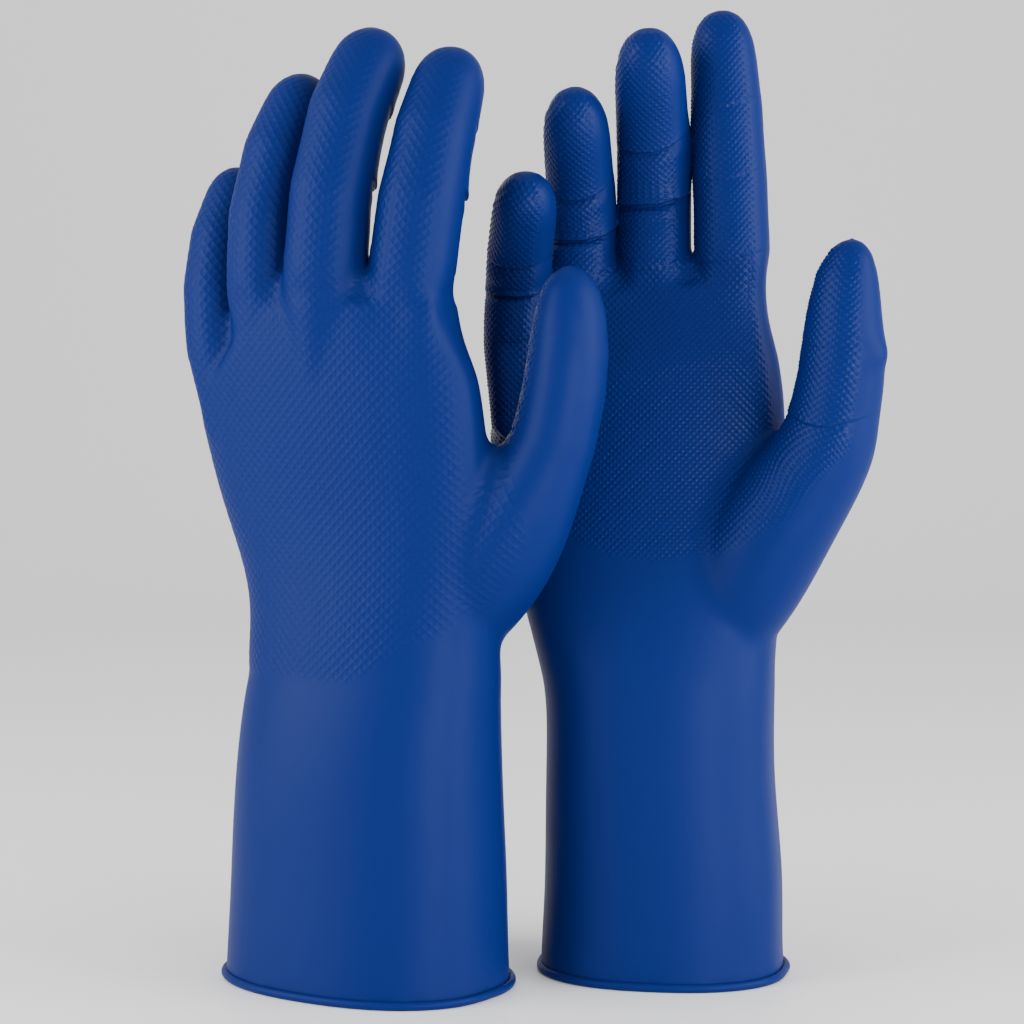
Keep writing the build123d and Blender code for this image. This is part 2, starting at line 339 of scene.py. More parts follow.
def blurred(field, sigma):
    """The field smoothed by a bell curve along each axis."""
    radius = int(np.ceil(3 * sigma))
    steps = np.arange(-radius, radius + 1)
    kernel = np.exp(-0.5 * (steps / sigma) ** 2)
    kernel /= kernel.sum()
    for axis in range(3):
        padding = [(0, 0)] * 3
        padding[axis] = (radius, radius)
        padded = np.pad(field, padding, mode="edge")
        size = field.shape[axis]
        field = sum(w * np.take(padded, np.arange(k, k + size), axis=axis) for k, w in enumerate(kernel))
    return field


# ---- from the field to a mesh -------------------------------------------
def surface_net(field):
    """Points in grid steps, and quads, of the surface where the field is 0."""
    inside = field < 0
    nx, ny, nz = field.shape
    offsets = [(i, j, k) for i in (0, 1) for j in (0, 1) for k in (0, 1)]
    count = sum(inside[i:nx - 1 + i, j:ny - 1 + j, k:nz - 1 + k].astype(np.int8) for i, j, k in offsets)
    active = (count > 0) & (count < 8)
    number = np.full(active.shape, -1)
    number[active] = np.arange(active.sum())
    cells = np.argwhere(active)

    total = np.zeros((len(cells), 3))
    crossings = np.zeros(len(cells))
    for axis in range(3):
        for corner in offsets:
            if corner[axis]:
                continue
            a = cells + corner
            b = a.copy()
            b[:, axis] += 1
            fa, fb = field[tuple(a.T)], field[tuple(b.T)]
            cross = (fa < 0) != (fb < 0)
            t = np.where(cross, fa / np.where(cross, fa - fb, 1.0), 0.0)
            spot = a.astype(float)
            spot[:, axis] += t
            total += spot * cross[:, None]
            crossings += cross
    points = total / crossings[:, None]

    quads = []
    for axis in range(3):
        one, two = (axis + 1) % 3, (axis + 2) % 3
        low = np.moveaxis(inside, axis, 0)
        edges = np.argwhere(np.moveaxis(low[:-1] != low[1:], 0, axis))
        keep = (edges[:, one] > 0) & (edges[:, two] > 0)
        keep &= (edges[:, one] < field.shape[one] - 1) & (edges[:, two] < field.shape[two] - 1)
        edges = edges[keep]
        ring = []
        for step_one, step_two in ((1, 1), (0, 1), (0, 0), (1, 0)):
            cell = edges.copy()
            cell[:, one] -= step_one
            cell[:, two] -= step_two
            ring.append(number[tuple(cell.T)])
        ring = np.stack(ring, axis=1)
        flip = ~inside[tuple(edges.T)]
        ring[flip] = ring[flip][:, ::-1]
        quads.append(ring)
    return points, np.concatenate(quads)


def sample(field, spots):
    """The field and its slope at points given in grid steps."""
    limit = np.array(field.shape) - 1.001
    spots = np.clip(spots, 0.0, limit)
    base = np.floor(spots).astype(int)
    f = spots - base
    c = {(i, j, k): field[base[:, 0] + i, base[:, 1] + j, base[:, 2] + k]
         for i in (0, 1) for j in (0, 1) for k in (0, 1)}
    x, y, z = f.T
    c00, c10 = c[0, 0, 0] * (1 - x) + c[1, 0, 0] * x, c[0, 1, 0] * (1 - x) + c[1, 1, 0] * x
    c01, c11 = c[0, 0, 1] * (1 - x) + c[1, 0, 1] * x, c[0, 1, 1] * (1 - x) + c[1, 1, 1] * x
    value = (c00 * (1 - y) + c10 * y) * (1 - z) + (c01 * (1 - y) + c11 * y) * z
    gx = ((c[1, 0, 0] - c[0, 0, 0]) * (1 - y) + (c[1, 1, 0] - c[0, 1, 0]) * y) * (1 - z)
    gx += ((c[1, 0, 1] - c[0, 0, 1]) * (1 - y) + (c[1, 1, 1] - c[0, 1, 1]) * y) * z
    gy = (c10 - c00) * (1 - z) + (c11 - c01) * z
    gz = (c01 * (1 - y) + c11 * y) - (c00 * (1 - y) + c10 * y)
    return value, np.stack([gx, gy, gz], axis=1)


def relaxed(points, quads, field):
    """The net evened out, and kept on the surface where the field is 0."""
    edges = np.concatenate([quads[:, [k, (k + 1) % 4]] for k in range(4)])
    size = len(points)
    degree = np.bincount(edges.ravel(), minlength=size)[:, None]
    bottom = points[:, 2] < STITCH
    for _ in range(RELAX):
        total = np.zeros_like(points)
        for axis in range(3):
            total[:, axis] += np.bincount(edges[:, 0], points[edges[:, 1], axis], size)
            total[:, axis] += np.bincount(edges[:, 1], points[edges[:, 0], axis], size)
        moved = np.where(bottom[:, None], points, 0.35 * points + 0.65 * total / degree)
        for _ in range(2):
            value, slope = sample(field, moved)
            back = value / np.maximum((slope ** 2).sum(1), 1e-6)
            moved = moved - slope * back[:, None] * ~bottom[:, None]
        points = moved
    return points


# ---- meshes in Blender --------------------------------------------------
def new_mesh(name, points, faces):
    """A Blender mesh from points in metres and faces with equal corner counts."""
    faces = np.asarray(faces, np.int32)
    mesh = bpy.data.meshes.new(name)
    mesh.vertices.add(len(points))
    mesh.vertices.foreach_set("co", np.asarray(points, np.float32).ravel())
    mesh.loops.add(faces.size)
    mesh.loops.foreach_set("vertex_index", faces.ravel())
    mesh.polygons.add(len(faces))
    mesh.polygons.foreach_set("loop_start", np.arange(len(faces), dtype=np.int32) * faces.shape[1])
    mesh.polygons.foreach_set("loop_total", np.full(len(faces), faces.shape[1], np.int32))
    mesh.update(calc_edges=True)
    mesh.validate()
    return mesh


def subdivided(points, faces, levels):
    """The mesh rounded and made finer by Catmull-Clark subdivision."""
    mesh = new_mesh("cage", points * MM, faces)
    cage = bpy.data.objects.new("cage", mesh)
    bpy.context.scene.collection.objects.link(cage)
    modifier = cage.modifiers.new("finer", "SUBSURF")
    modifier.levels = levels
    modifier.render_levels = levels
    modifier.boundary_smooth = "PRESERVE_CORNERS"
    result = cage.evaluated_get(bpy.context.evaluated_depsgraph_get()).to_mesh()
    co = np.empty(len(result.vertices) * 3)
    result.vertices.foreach_get("co", co)
    corners = np.empty(len(result.loops), np.int32)
    result.loops.foreach_get("vertex_index", corners)
    bpy.data.objects.remove(cage)
    bpy.data.meshes.remove(mesh)
    return co.reshape(-1, 3) / MM, corners.reshape(-1, 4)


def vertex_normals(points, quads):
    """Smooth normals at every point."""
    one, two = points[quads[:, 2]] - points[quads[:, 0]], points[quads[:, 3]] - points[quads[:, 1]]
    diagonals = np.cross(one, two)
    normals = np.zeros_like(points)
    for k in range(4):
        for axis in range(3):
            normals[:, axis] += np.bincount(quads[:, k], diagonals[:, axis], len(points))
    return unit(normals)


# ---- the hand's layout, read from the frame -----------------------------
def rim_centre(node, hinge, axis):
    """The middle of the end of a tube that lies at its hinge, and the tube's direction there."""
    co = node_points(node) - hinge
    toward = unit(co.mean(axis=0) - axis * (co.mean(axis=0) @ axis))
    behind = np.cross(toward, axis)
    x, y = co @ toward, co @ behind
    turn = np.arctan2(y, x)[np.hypot(x, y) > RIM_CLEAR].max()
    along = toward * sin(turn) - behind * cos(turn)
    outward = np.cross(along, axis)
    heights = co @ along
    ring = co[heights < heights.min() + RIM_DEPTH]
    middle = sum(d * (np.ptp(ring @ d) / 2 + (ring @ d).min()) for d in (along, axis, outward))
    return hinge + middle, along


def smooth_line(corners):
    """A smooth curve through the corners of a line."""
    padded = np.vstack([2 * corners[0] - corners[1], corners, 2 * corners[-1] - corners[-2]])
    line = []
    for a, b, c, d in zip(padded, padded[1:], padded[2:], padded[3:]):
        for t in np.arange(LINE_STEPS) / LINE_STEPS:
            line.append(0.5 * (2 * b + (c - a) * t + (2 * a - 5 * b + 4 * c - d) * t ** 2
                               + (3 * b - a - 3 * c + d) * t ** 3))
    return np.array([*line, corners[-1]])


def read_digit(side, digit):
    """A finger or thumb: its creases, centre line, radius and directions."""
    labels = ("base", "tip") if digit == "thumb" else ("base", "middle", "tip")
    bodies = [f"{side}_{digit}_{label}" for label in labels]
    creases = []
    for body in bodies:
        joint = joint_of(body)
        hinge, axis = np.array(joint["pos_m"]) / MM, np.array(joint["axis"])
        centre, along = rim_centre(body, hinge, axis)
        creases.append(SimpleNamespace(centre=centre, along=along, axis=axis, hinge=hinge))
    co = node_points(bodies[-1])
    tip = co[np.argmax((co - creases[-1].centre) @ creases[-1].along)]
    corners = np.array([c.centre for c in creases] + [tip])
    start = corners[0] - creases[0].along * BELOW_ROOT
    line = np.vstack([start, smooth_line(corners)])
    lengths = np.r_[0.0, np.cumsum(np.linalg.norm(np.diff(line, axis=0), axis=1))] - BELOW_ROOT
    radius = np.linalg.norm(creases[0].hinge - creases[0].centre)
    palm = unit(np.cross(creases[0].axis, creases[0].along))
    steps = unit(np.diff(corners, axis=0))
    before = np.vstack([creases[0].along, steps[:-1]])
    bends = np.degrees(np.arccos(np.clip((before * steps).sum(axis=1), -1.0, 1.0)))
    marks = lengths[1 + LINE_STEPS * np.arange(len(bodies))]
    return SimpleNamespace(
        name=digit, bodies=bodies, creases=creases, corners=corners, line=line, lengths=lengths,
        marks=marks, bends=bends, radius=radius, palm=palm, across=creases[0].axis,
    )


def read_glove(side):
    """Everything that the skin of one glove is worked out from."""
    digits = [read_digit(side, digit) for digit in DIGITS]
    middle = digits[1]
    palm = unit(np.array([middle.palm[0], middle.palm[1], 0.0]))
    wrist = joint_of(f"{side}_palm")
    cuff_low, cuff_high = box_mm(f"{side}_cuff")
    across = np.cross(np.array([0.0, 0.0, 1.0]), palm)
    across *= np.sign(across @ (digits[0].creases[0].centre - digits[3].creases[0].centre))
    return SimpleNamespace(
        side=side, digits=digits, palm=palm, across=across, middle=(cuff_low + cuff_high) / 2,
        wrist_height=wrist["pos_m"][2] / MM,
    )


# ---- the skin -----------------------------------------------------------
def glove_shell(glove):
    """The outer surface of all of a glove's CAD parts, its bead aside."""
    side = glove.side
    parents = {f"{side}_cuff": [f"{side}_palm"], f"{side}_palm": [f"{side}_cuff"]}
    for digit in glove.digits:
        chain = [f"{side}_palm", *digit.bodies]
        parents[f"{side}_palm"].append(digit.bodies[0])
        for k, body in enumerate(digit.bodies):
            parents[body] = [chain[k], *digit.bodies[k + 1:k + 2]]
    points, triangles = [], []
    start = 0
    owners = {body: digit for digit in glove.digits[:-1] for body in digit.bodies}
    for node, neighbours in parents.items():
        p, t = outside_of(node, neighbours, flat_rims=node.endswith("_cuff"))
        if node in owners:
            along, _, offset = follow(p, owners[node])
            p = p + offset * (slimness(along) - 1.0)[:, None]
        if node == f"{side}_palm":
            p = tapered(p, glove)
        points.append(p)
        triangles.append(t + start)
        start += len(p)
    return np.concatenate(points), np.concatenate(triangles)


def root_line(points, glove):
    """Height, depth and half thickness of the fingers' roots, beside each point."""
    roots = sorted((float((d.creases[0].centre - glove.middle) @ glove.across), d.creases[0].centre[2],
                    float((d.creases[0].centre - glove.middle) @ glove.palm), d.radius)
                   for d in glove.digits[:-1])
    places, *values = zip(*roots)
    across = (points - glove.middle) @ glove.across
    return [np.interp(across, places, value) for value in values]


def tapered(points, glove):
    """The hand thinned towards the roots of the fingers."""
    height, centre, half = root_line(points, glove)
    depth = (points - glove.middle) @ glove.palm - centre
    over = np.maximum(0.0, np.abs(depth) - TAPER_END * half)
    share = smoothstep(-TAPER, -1.0, points[:, 2] - height)
    index = glove.digits[0]
    edge = (index.creases[0].centre - glove.middle) @ glove.across + EDGE_END * index.radius
    beyond = np.maximum(0.0, (points - glove.middle) @ glove.across - edge) * share
    return points - glove.palm * (np.sign(depth) * over * share)[:, None] - glove.across * beyond[:, None]


def slimness(along):
    """How slim a finger is drawn, by the distance past its root."""
    return 1.0 - (1.0 - SLIM) * smoothstep(*SLIM_START, along)


def restored(points, glove):
    """The skin with its fingers back at their full width."""
    results = [follow(points, digit) for digit in glove.digits[:-1]]
    distances = np.stack([distance / digit.radius for (_, distance, _), digit in zip(results, glove.digits)])
    nearest = distances.argmin(axis=0)
    result = points.copy()
    for number, (along, distance, offset) in enumerate(results):
        mine = (nearest == number) & (distances[number] < OWN_REACH)
        result[mine] += offset[mine] * (1.0 / slimness(along[mine]) - 1.0)[:, None]
    return result


def evened(points, quads, passes, shares):
    """The net smoothed a little without shrinking, by a share at each point."""
    edges = np.concatenate([quads[:, [k, (k + 1) % 4]] for k in range(4)])
    degree = np.bincount(edges.ravel(), minlength=len(points))[:, None]
    for step in EVEN_STEPS * passes:
        total = np.zeros_like(points)
        for axis in range(3):
            total[:, axis] += np.bincount(edges[:, 0], points[edges[:, 1], axis], len(points))
            total[:, axis] += np.bincount(edges[:, 1], points[edges[:, 0], axis], len(points))
        points = points + step * shares[:, None] * (total / degree - points)
    return points


def web_limit(low, shape, glove):
    """How far each grid cell is above the roots of the fingers, in mm."""
    steps = [np.arange(count) * VOXEL + start for count, start in zip(shape, low)]
    spots = np.stack(np.meshgrid(*steps, indexing="ij"), axis=-1)
    return np.maximum(0.0, spots[..., 2] - root_line(spots, glove)[0] - WEB_RISE)


def glove_cage(glove):
    """The glove's skin as an even net of quads, open at the cuff, in mm."""
    points, triangles = glove_shell(glove)
    margin = (BAND + 2) * VOXEL
    low = points.min(axis=0) - margin
    low[2] = BEAD_CLEAR - VOXEL
    shape = np.ceil((points.max(axis=0) + margin - low) / VOXEL).astype(int) + 1
    sharp = distance_field(points, triangles, low, tuple(shape))
    hollows = blurred(sharp, WEB_BLUR) + WEB_REACH + WEB_FADE * web_limit(low, shape, glove)
    field = np.minimum(blurred(sharp, BLUR), hollows)
    net, quads = surface_net(field)
    net = relaxed(net, quads, field)
    net = evened(net, quads, EVEN, (net[:, 2] >= STITCH).astype(float)) * VOXEL + low
    from_roots = net[:, 2] - root_line(net, glove)[0]
    net = evened(net, quads, EVEN_ROOTS, np.exp(-(from_roots / ROOTS_REACH) ** 2))
    return restored(net, glove), quads


def follow(points, digit):
    """Length along a digit, distance from its line, and the offset from it."""
    best = np.full(len(points), np.inf)
    along = np.zeros(len(points))
    offset = np.zeros_like(points)
    for a, b, s in zip(digit.line, digit.line[1:], digit.lengths):
        step = b - a
        t = np.clip((points - a) @ step / (step @ step), 0.0, 1.0)
        away = points - a - t[:, None] * step
        distance = np.linalg.norm(away, axis=1)
        closer = distance < best
        best[closer] = distance[closer]
        along[closer] = s + t[closer] * np.linalg.norm(step)
        offset[closer] = away[closer]
    return along, best, offset


def layout(points, glove):
    """For each point: its digit (-1 on the hand), and its flat coordinates along and across."""
    owner = np.full(len(points), -1)
    nearest = np.full(len(points), np.inf)
    up = points[:, 2].copy()
    across = (points - glove.middle) @ glove.across
    facing = np.tile(glove.palm, (len(points), 1))
    sideways = np.tile(glove.across, (len(points), 1))
    girth = np.full(len(points), HAND_EDGE)
    length = np.zeros(len(points))
    thumb = np.zeros(len(points))
    results = []
    for number, digit in enumerate(glove.digits):
        along, distance, offset = follow(points, digit)
        results.append((along, distance, offset))
        owned = (along > -BELOW_ROOT) & (distance < OWN_REACH * digit.radius) & (distance < nearest)
        nearest[owned] = distance[owned]
        owner[owned] = number
    for number, digit in enumerate(glove.digits):
        along, distance, offset = results[number]
        mine = owner == number
        fade = THUMB_FADE if digit.name == "thumb" else FINGER_FADE
        w = smoothstep(-fade, 0.0, along[mine])
        w *= 1.0 - smoothstep(FADE_REACH, OWN_REACH, distance[mine] / digit.radius)
        weight = w[:, None]
        side_way = offset[mine] @ digit.across * np.sign(digit.across @ glove.across)
        root = digit.creases[0].centre
        up_there = root[2] + along[mine]
        across_there = (root - glove.middle) @ glove.across + side_way
        up[mine] = up[mine] * (1 - w) + up_there * w
        across[mine] = across[mine] * (1 - w) + across_there * w
        facing[mine] = unit(facing[mine] * (1 - weight) + digit.palm * weight)
        side = digit.across * np.sign(digit.across @ glove.across)
        sideways[mine] = unit(sideways[mine] * (1 - weight) + side * weight)
        girth[mine] = girth[mine] * (1 - w) + digit.radius * w
        length[mine] = along[mine]
        thumb[mine] = w * (digit.name == "thumb")
        owner[mine & (along < -ROOT_BELOW - PIECE_MARGIN)] = -1
    return SimpleNamespace(owner=owner, up=up, across=across, facing=facing, sideways=sideways,
                           girth=girth, length=length, thumb=thumb)


# ---- relief -------------------------------------------------------------
def net_relief(up, across):
    """Thin crossing ridges, 1 on a ridge and 0 between."""
    result = np.zeros_like(up)
    for diagonal in ((up + across) / 2 ** 0.5, (up - across) / 2 ** 0.5):
        away = np.abs((diagonal / NET_PITCH + 0.5) % 1.0 - 0.5) * NET_PITCH
        result = np.maximum(result, np.exp(-(away / NET_RIDGE) ** 2))
    return result


def stud_relief(up, across):
    """Small staggered studs, 1 on top and 0 between."""
    a = np.cos(2 * pi * (up + across) / 2 ** 0.5 / STUD_PITCH)
    b = np.cos(2 * pi * (up - across) / 2 ** 0.5 / STUD_PITCH)
    return smoothstep(*STUD_ROUND, (0.5 + 0.5 * a) * (0.5 + 0.5 * b))


def turned(facing, glove, angles):
    """Directions turned round the hand, towards its little finger's side."""
    angles = np.radians(angles)[:, None]
    return unit(facing * np.cos(angles) - glove.across * np.sin(angles))


def relief_masks(normals, spread_out, glove):
    """How much of the net and of the studs each point has."""
    height = spread_out.up - glove.wrist_height
    thumb = spread_out.thumb
    back = turned(-glove.palm, glove, NET_TURN + (NET_THUMB_TURN - NET_TURN) * thumb)
    start = NET_START + NET_SLOPE * np.maximum(0.0, spread_out.across - NET_LEVEL) * (1.0 - thumb)
    seen = (normals * back).sum(axis=1) - NET_THUMB_LESS * thumb
    net = smoothstep(*NET_SIDES, seen) * smoothstep(0.0, PATTERN_EDGE, height - start)
    front = turned(spread_out.facing, glove, np.full(len(normals), STUD_TURN))
    start = STUD_START + STUD_ARC * spread_out.across ** 2
    studs = smoothstep(*STUD_SIDES, (normals * front).sum(axis=1))
    studs *= smoothstep(0.0, PATTERN_EDGE, height - start)
    studs *= 1.0 - smoothstep(*STUD_CAPS, normals[:, 2])
    return net, studs


def fold_relief(points, normals, spread_out, glove):
    """The lips and grooves on the palm side of each crease, in mm."""
    rise = np.zeros(len(points))
    for number, digit in enumerate(glove.digits):
        mine = spread_out.owner == number
        toward_palm = smoothstep(*FOLD_SIDES, normals[mine] @ digit.palm)
        for mark, crease, bend in zip(digit.marks, digit.creases, digit.bends):
            strength = max(FAINT_FOLD, float(smoothstep(*FOLD_BENDS, bend)))
            strength *= THUMB_FOLD if digit.name == "thumb" else 1.0
            sideways = (points[mine] - crease.centre) @ crease.axis
            slant = FOLD_SLANT * ((points[mine] - crease.centre) @ glove.across)
            s = spread_out.length[mine] - mark - FOLD_SMILE * sideways ** 2 - slant
            lip = FOLD_LIP * np.exp(-np.maximum(s, 0.0) / LIP_FADE)
            groove = -FOLD_GROOVE * np.exp(np.minimum(s, 0.0) / GROOVE_FADE)
            groove += PILLOW * np.exp(-((s + PILLOW_BELOW) / PILLOW_REACH) ** 2)
            step = smoothstep(*FOLD_STEP, s)
            rise[mine] += strength * toward_palm * (groove * (1.0 - step) + lip * step)
    return rise


def knuckle_relief(points, normals, glove):
    """The bump on the outer side of the right thumb, in mm."""
    if glove.side != "right":
        return 0.0
    thumb = glove.digits[-1]
    knuckle = thumb.creases[-1]
    outward = unit(thumb.across * np.sign(thumb.across @ glove.across))
    peak = knuckle.centre + outward * np.linalg.norm(knuckle.hinge - knuckle.centre)
    away = np.linalg.norm(points - peak, axis=1)
    return KNUCKLE * np.exp(-(away / KNUCKLE_REACH) ** 2) * smoothstep(0.1, 0.8, normals @ outward)


def ripple_relief(spread_out):
    """Slight unevenness of the plain rubber, in mm."""
    up, across = spread_out.up, spread_out.across
    return RIPPLE * (np.sin(up / 15.0 + across / 29.0) * np.sin(across / 17.0 - up / 47.0 + 1.3)
                     + 0.4 * np.sin(up / 8.3 - across / 21.0 + 0.4))


def with_relief(points, normals, spread_out, glove):
    """The points raised by folds and pattern, and how much of the studs each has."""
    net, studs = relief_masks(normals, spread_out, glove)
    turn = np.clip((normals * spread_out.sideways).sum(axis=1), -1.0, 1.0)
    around = spread_out.across + spread_out.girth * (np.arcsin(turn) - turn)
    rise = NET_HEIGHT * net * net_relief(spread_out.up, around)
    rise += STUD_HEIGHT * studs * stud_relief(spread_out.up, around)
    rise += fold_relief(points, normals, spread_out, glove) + knuckle_relief(points, normals, glove)
    rise += ripple_relief(spread_out)
    return points + normals * rise[:, None], studs


# ---- cutting the skin into pieces ---------------------------------------
CUFF, WRIST, BACK, FRONT, FIRST_DIGIT = range(5)


def bend_zones(digit):
    """Each crease's bend: where it starts and ends, and its direction."""
    stretches = np.linalg.norm(np.diff(digit.corners, axis=0), axis=1)
    hinges = np.array([crease.hinge for crease in digit.creases])
    stretches[:-1] = np.minimum(stretches[:-1], np.linalg.norm(np.diff(hinges, axis=0), axis=1))
    zones = []
    for k, crease in enumerate(digit.creases):
        before = ROOT_BELOW if k == 0 else min(BEND_REACH, BEND_SHARE * stretches[k - 1])
        after = min(BEND_REACH, BEND_SHARE * stretches[k])
        start, end = crease.centre - crease.along * before, crease.centre + crease.along * after
        zones.append((start, end, crease.along))
    return zones


def piece_numbers(points, spread_out, glove):
    """Which piece each point is in: cuff, wrist, back, palm, then each digit's stretches."""
    height = points[:, 2] - glove.wrist_height
    on_palm = (points - glove.middle) @ glove.palm > 0
    numbers = np.where(height < WRIST_ABOVE + PIECE_MARGIN, WRIST, np.where(on_palm, FRONT, BACK))
    numbers[height < -WRIST_BELOW - PIECE_MARGIN] = CUFF
    start = FIRST_DIGIT
    for number, digit in enumerate(glove.digits):
        zones = bend_zones(digit)
        mine = spread_out.owner == number
        stretch = np.zeros(mine.sum(), int)
        spots = points[mine]
        for (_, end, along), (begin, _, next_along) in zip(zones, zones[1:]):
            stretch += (spots - end) @ along > (begin - spots) @ next_along
        numbers[mine] = start + stretch
        start += len(zones)
    return numbers


def face_pieces(glove, cage, cage_quads):
    """Which piece each face of the cage is in."""
    numbers = piece_numbers(cage, layout(cage, glove), glove)
    return np.sort(numbers[cage_quads], axis=1)[:, 1]


def cut(level, pieces, number):
    """One piece's own points, quads, normals and share of studs."""
    points, quads, normals, studs = level
    chosen = quads[np.repeat(pieces, len(quads) // len(pieces)) == number]
    used, local = np.unique(chosen, return_inverse=True)
    return points[used], local.reshape(-1, 4), normals[used], studs[used]


def add_piece(name, points, quads, normals, studs, material, slot):
    """One piece of skin as an object, with how much of it has studs."""
    mesh = new_mesh(name, points * MM, quads)
    attribute = mesh.attributes.new("studs", "FLOAT", "POINT")
    attribute.data.foreach_set("value", studs.astype(np.float32))
    mesh.polygons.foreach_set("use_smooth", np.ones(len(quads), bool))
    mesh.normals_split_custom_set_from_vertices(normals.tolist())
    mesh.materials.append(material)
    piece = bpy.data.objects.new(name, mesh)
    bpy.context.scene.collection.objects.link(piece)
    return piece


# ---- materials ----------------------------------------------------------
def rubber_material():
    """Blue rubber: satin, with a very fine mottle, and glossier on the studs."""
    material = bpy.data.materials.new("blue_rubber")
    material.use_nodes = True
    tree = material.node_tree
    shader = tree.nodes["Principled BSDF"]
    shader.inputs["IOR"].default_value = 1.5
    shader.inputs["Specular IOR Level"].default_value = SHEEN
    shader.inputs["Base Color"].default_value = RUBBER_BLUE
    noise = tree.nodes.new("ShaderNodeTexNoise")
    noise.inputs["Scale"].default_value = 900.0
    noise.inputs["Detail"].default_value = 4.0
    coordinates = tree.nodes.new("ShaderNodeTexCoord")
    tree.links.new(coordinates.outputs["Object"], noise.inputs["Vector"])
    rough = tree.nodes.new("ShaderNodeMapRange")
    rough.inputs["To Min"].default_value, rough.inputs["To Max"].default_value = ROUGHNESS
    tree.links.new(noise.outputs["Fac"], rough.inputs["Value"])
    studs = tree.nodes.new("ShaderNodeAttribute")
    studs.attribute_name = "studs"
    gloss = tree.nodes.new("ShaderNodeMath")
    gloss.operation = "MULTIPLY_ADD"
    gloss.inputs[1].default_value = -STUD_GLOSS
    tree.links.new(studs.outputs["Fac"], gloss.inputs[0])
    tree.links.new(rough.outputs["Result"], gloss.inputs[2])
    tree.links.new(gloss.outputs["Value"], shader.inputs["Roughness"])
    return material


# ---- one glove ----------------------------------------------------------
def skin_level(glove, cage, cage_quads, levels):
    """The skin divided a number of times, with its relief."""
    points, quads = subdivided(cage, cage_quads, levels)
    normals = vertex_normals(points, quads)
    spread_out = layout(points, glove)
    points, studs = with_relief(points, normals, spread_out, glove)
    return points, quads, vertex_normals(points, quads), studs


def lining(cage, cage_quads):
    """The inner face of the skin."""
    normals = vertex_normals(cage, cage_quads)
    return cage - normals * WALL, cage_quads[:, ::-1], -normals, np.zeros(len(cage))


def joined(outer, inner):
    """The outer and inner faces of one piece together."""
    points, quads, normals, studs = zip(outer, inner)
    together = np.concatenate([quads[0], quads[1] + len(points[0])])
    return np.concatenate(points), together, np.concatenate(normals), np.concatenate(studs)


def build_skin(glove, material):
    """The whole skin of one glove, cut into pieces at its joints; the cuff and hand pieces follow their
    bodies.
    """
    side = glove.side
    cage, cage_quads = glove_cage(glove)
    pieces = face_pieces(glove, cage, cage_quads)
    fine, plain = (skin_level(glove, cage, cage_quads, levels) for levels in (FINE, 1))
    inner = lining(cage, cage_quads)

    def make(number, name, outer=fine):
        part = joined(cut(outer, pieces, number), cut(inner, pieces, number))
        return add_piece(f"{side}_{name}", *part, material, "glove_rubber")

    cuff = make(CUFF, "cuff_skin", plain)
    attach(cuff, f"{side}_cuff")
    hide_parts(f"{side}_cuff")
    wrist = make(WRIST, "wrist_skin")
    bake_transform(wrist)
    for number, name in ((BACK, "hand_back_skin"), (FRONT, "hand_palm_skin")):
        hand = make(number, name)
        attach(hand, f"{side}_palm")
        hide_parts(f"{side}_palm")
    number = FIRST_DIGIT
    for digit in glove.digits:
        chain = [f"{side}_palm", *digit.bodies]
        for parent, body, (start, end, _) in zip(chain, digit.bodies, bend_zones(digit)):
            piece = make(number, f"{body.removeprefix(side + '_')}_skin")
            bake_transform(piece)
            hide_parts(body)
            number += 1


def build_bead(glove, material):
    """The rolled bead round the mouth of the cuff."""
    node = f"{glove.side}_cuff_bead"
    flat = node_points(node)[:, :2]
    low, high = box_mm(node)
    middle = (low + high)[:2] / 2
    angles = np.arange(BEAD_STEPS) * 2 * pi / BEAD_STEPS
    outward = np.stack([np.cos(angles), np.sin(angles)], axis=1)
    reach = ((flat - middle) @ outward.T).max(axis=0)
    turn = (np.roll(reach, -1) - np.roll(reach, 1)) / (2 * angles[1])
    sideways = np.stack([-outward[:, 1], outward[:, 0]], axis=1)
    edge = middle + outward * reach[:, None] + sideways * turn[:, None]
    centre = edge - outward * BEAD_RADIUS
    around = np.arange(BEAD_SIDES) * 2 * pi / BEAD_SIDES
    middle_height = high[2] / 2
    rings = centre[:, None, :] + outward[:, None, :] * (BEAD_RADIUS * np.cos(around))[None, :, None]
    heights = np.tile(middle_height * (1.0 + np.sin(around)), (BEAD_STEPS, 1))
    points = np.concatenate([rings, heights[:, :, None]], axis=2).reshape(-1, 3)
    a = np.arange(BEAD_STEPS)[:, None] * BEAD_SIDES + np.arange(BEAD_SIDES)[None, :]
    b, c = np.roll(a, -1, axis=0), np.roll(a, -1, axis=1)
    d = np.roll(b, -1, axis=1)
    quads = np.stack([a, b, d, c], axis=2).reshape(-1, 4)
    normals = vertex_normals(points, quads)
    piece = add_piece(f"{glove.side}_rolled_bead", points, quads, normals, np.zeros(len(points)),
                      material, "bead_rubber")
    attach(piece, f"{glove.side}_cuff")
    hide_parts(node)


# ---- stage, light and camera --------------------------------------------
def area_light(name, place, aim, size, power):
    """A soft rectangular light that points at a spot."""
    data = bpy.data.lights.new(name, "AREA")
    data.shape = "RECTANGLE"
    data.size, data.size_y = size
    data.energy = power
    light = bpy.data.objects.new(name, data)
    light.location = place
    light.rotation_euler = (Vector(aim) - Vector(place)).to_track_quat("-Z", "Y").to_euler()
    bpy.context.scene.collection.objects.link(light)


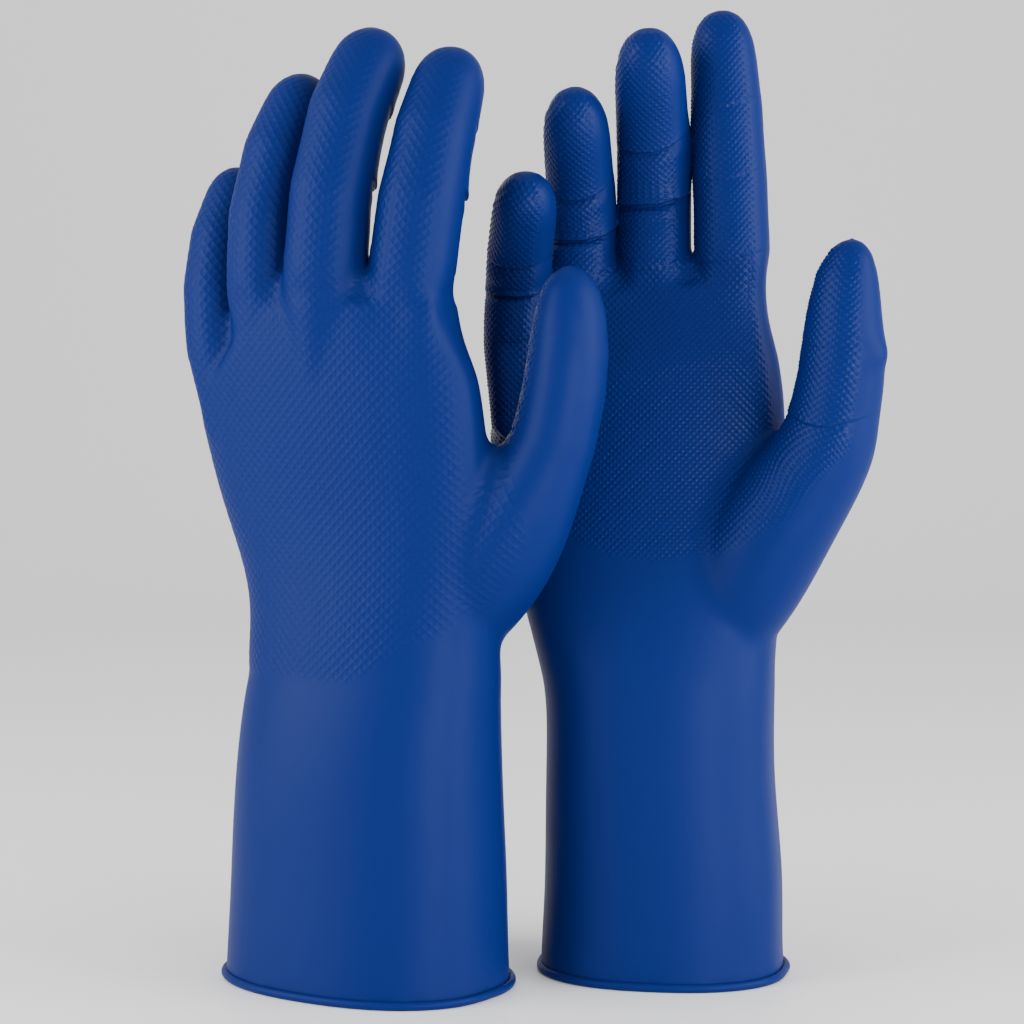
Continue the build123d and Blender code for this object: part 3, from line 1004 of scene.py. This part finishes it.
def studio(low, high):
    """A pale floor bent up behind, a white surround, softboxes at the sides and a fill light."""
    centre = (low + high) / 2
    bend = [(FLOOR_BACK - FLOOR_BEND * (1.0 - sin(angle)), FLOOR_BEND * (1.0 - cos(angle)))
            for angle in np.linspace(0.0, pi / 2, BEND_STEPS)]
    profile = [(FLOOR_FRONT, 0.0), (FLOOR_MIDDLE, 0.0), *bend, (FLOOR_BACK, WALL_TOP)]
    corners = [(x, y, z) for y, z in profile for x in (-FLOOR_HALF, FLOOR_HALF)]
    strips = [(k, k + 1, k + 3, k + 2) for k in range(0, len(corners) - 2, 2)]
    mesh = new_mesh("floor", corners, strips)
    mesh.polygons.foreach_set("use_smooth", np.ones(len(strips), bool))
    floor = bpy.data.objects.new("floor", mesh)
    bpy.context.scene.collection.objects.link(floor)
    paint = bpy.data.materials.new("pale_floor")
    paint.use_nodes = True
    paint.node_tree.nodes["Principled BSDF"].inputs["Base Color"].default_value = (0.92, 0.92, 0.92, 1)
    mesh.materials.append(paint)
    world = bpy.data.worlds.new("white")
    world.use_nodes = True
    world.node_tree.nodes["Background"].inputs["Color"].default_value = (1, 1, 1, 1)
    world.node_tree.nodes["Background"].inputs["Strength"].default_value = 1.0
    bpy.context.scene.world = world
    for sign in (-1, 1):
        area_light(f"softbox_{sign}", (sign * 0.8, -0.3, 0.35), centre, (0.6, 0.9), SOFTBOX_POWER)
    area_light("fill", (0.45, -0.9, 0.05), centre + Vector((0.05, 0, 0.02)), (0.35, 0.4), FILL_POWER)


def camera():
    """The camera, level with the middle of the hands and looking slightly down."""
    data = bpy.data.cameras.new("camera")
    data.lens = CAMERA_LENS
    view = bpy.data.objects.new("camera", data)
    view.location = CAMERA_PLACE
    view.rotation_euler = (radians(90 - CAMERA_DROP), 0, 0)
    bpy.context.scene.collection.objects.link(view)
    bpy.context.scene.camera = view


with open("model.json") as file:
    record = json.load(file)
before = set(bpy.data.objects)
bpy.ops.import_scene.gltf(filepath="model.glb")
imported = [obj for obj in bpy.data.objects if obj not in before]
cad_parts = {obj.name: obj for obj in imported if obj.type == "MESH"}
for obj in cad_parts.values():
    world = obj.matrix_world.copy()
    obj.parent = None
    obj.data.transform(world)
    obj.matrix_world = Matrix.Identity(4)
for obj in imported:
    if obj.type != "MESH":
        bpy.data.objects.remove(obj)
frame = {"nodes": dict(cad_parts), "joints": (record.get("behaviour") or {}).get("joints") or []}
cad_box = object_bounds()
rubber = rubber_material()
for hand in SIDES:
    glove_read = read_glove(hand)
    build_skin(glove_read, rubber)
    build_bead(glove_read, rubber)
studio(*(Vector(corner) for corner in cad_box))
camera()
